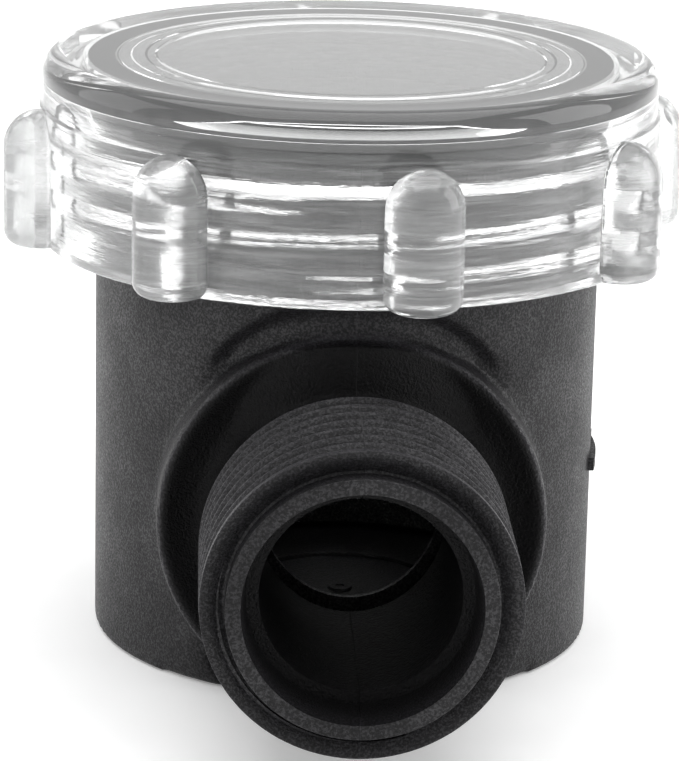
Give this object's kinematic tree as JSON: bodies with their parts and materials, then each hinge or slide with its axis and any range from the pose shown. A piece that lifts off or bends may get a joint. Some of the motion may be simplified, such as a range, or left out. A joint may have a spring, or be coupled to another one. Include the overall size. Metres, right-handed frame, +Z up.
{
  "type": "basket strainer",
  "caption": "In-line basket strainer: black moulded bowl with threaded inlet and outlet spigots, clear screw lid with grip lugs, ring gasket and lift-out basket.",
  "frame": {"origin": "centre of the bowl's flat base", "axes": "+Z up along the bowl's and lid's axis; -Y out of the inlet spigot, +Y out of the outlet spigot; +X the side with the flow arrow"},
  "size_m": [0.0384, 0.0542, 0.0333],
  "materials": {
    "bowl_plastic": "black glass-filled plastic, fine speckled grain, semi-matt",
    "clear_plastic": "clear polycarbonate, glossy, fine moulding lines",
    "gasket_rubber": "black rubber, matt",
    "basket_plastic": "black moulded plastic, satin"
  },
  "bodies": {
    "housing": {"strainer_body": "bowl_plastic"},
    "seal": {"lid_gasket": "gasket_rubber"},
    "lid": {"screw_lid": "clear_plastic"},
    "basket": {"basket_collar": "basket_plastic", "basket_screen": "basket_plastic", "basket_floor": "basket_plastic"}
  },
  "joints": [
    {"name": "lid_rise", "type": "slide", "parent": "housing", "child": "seal", "axis": [0, 0, 1], "range_m": [0, 0.0315]},
    {"name": "lid_turn", "type": "hinge", "parent": "seal", "child": "lid", "pos_m": [0, 0, 0.03], "axis": [0, 0, 1], "range_deg": [0, 5400]},
    {"name": "basket_lift", "type": "slide", "parent": "housing", "child": "basket", "axis": [0, 0, 1], "range_m": [0, 0.0293]}
  ],
  "couplings": [
    {"joint": "lid_rise", "follows": "lid_turn", "m_per_rad": 0.00033423},
    {"joint": "basket_lift", "follows": "lid_turn", "m_per_rad": 0.00031083}
  ]
}
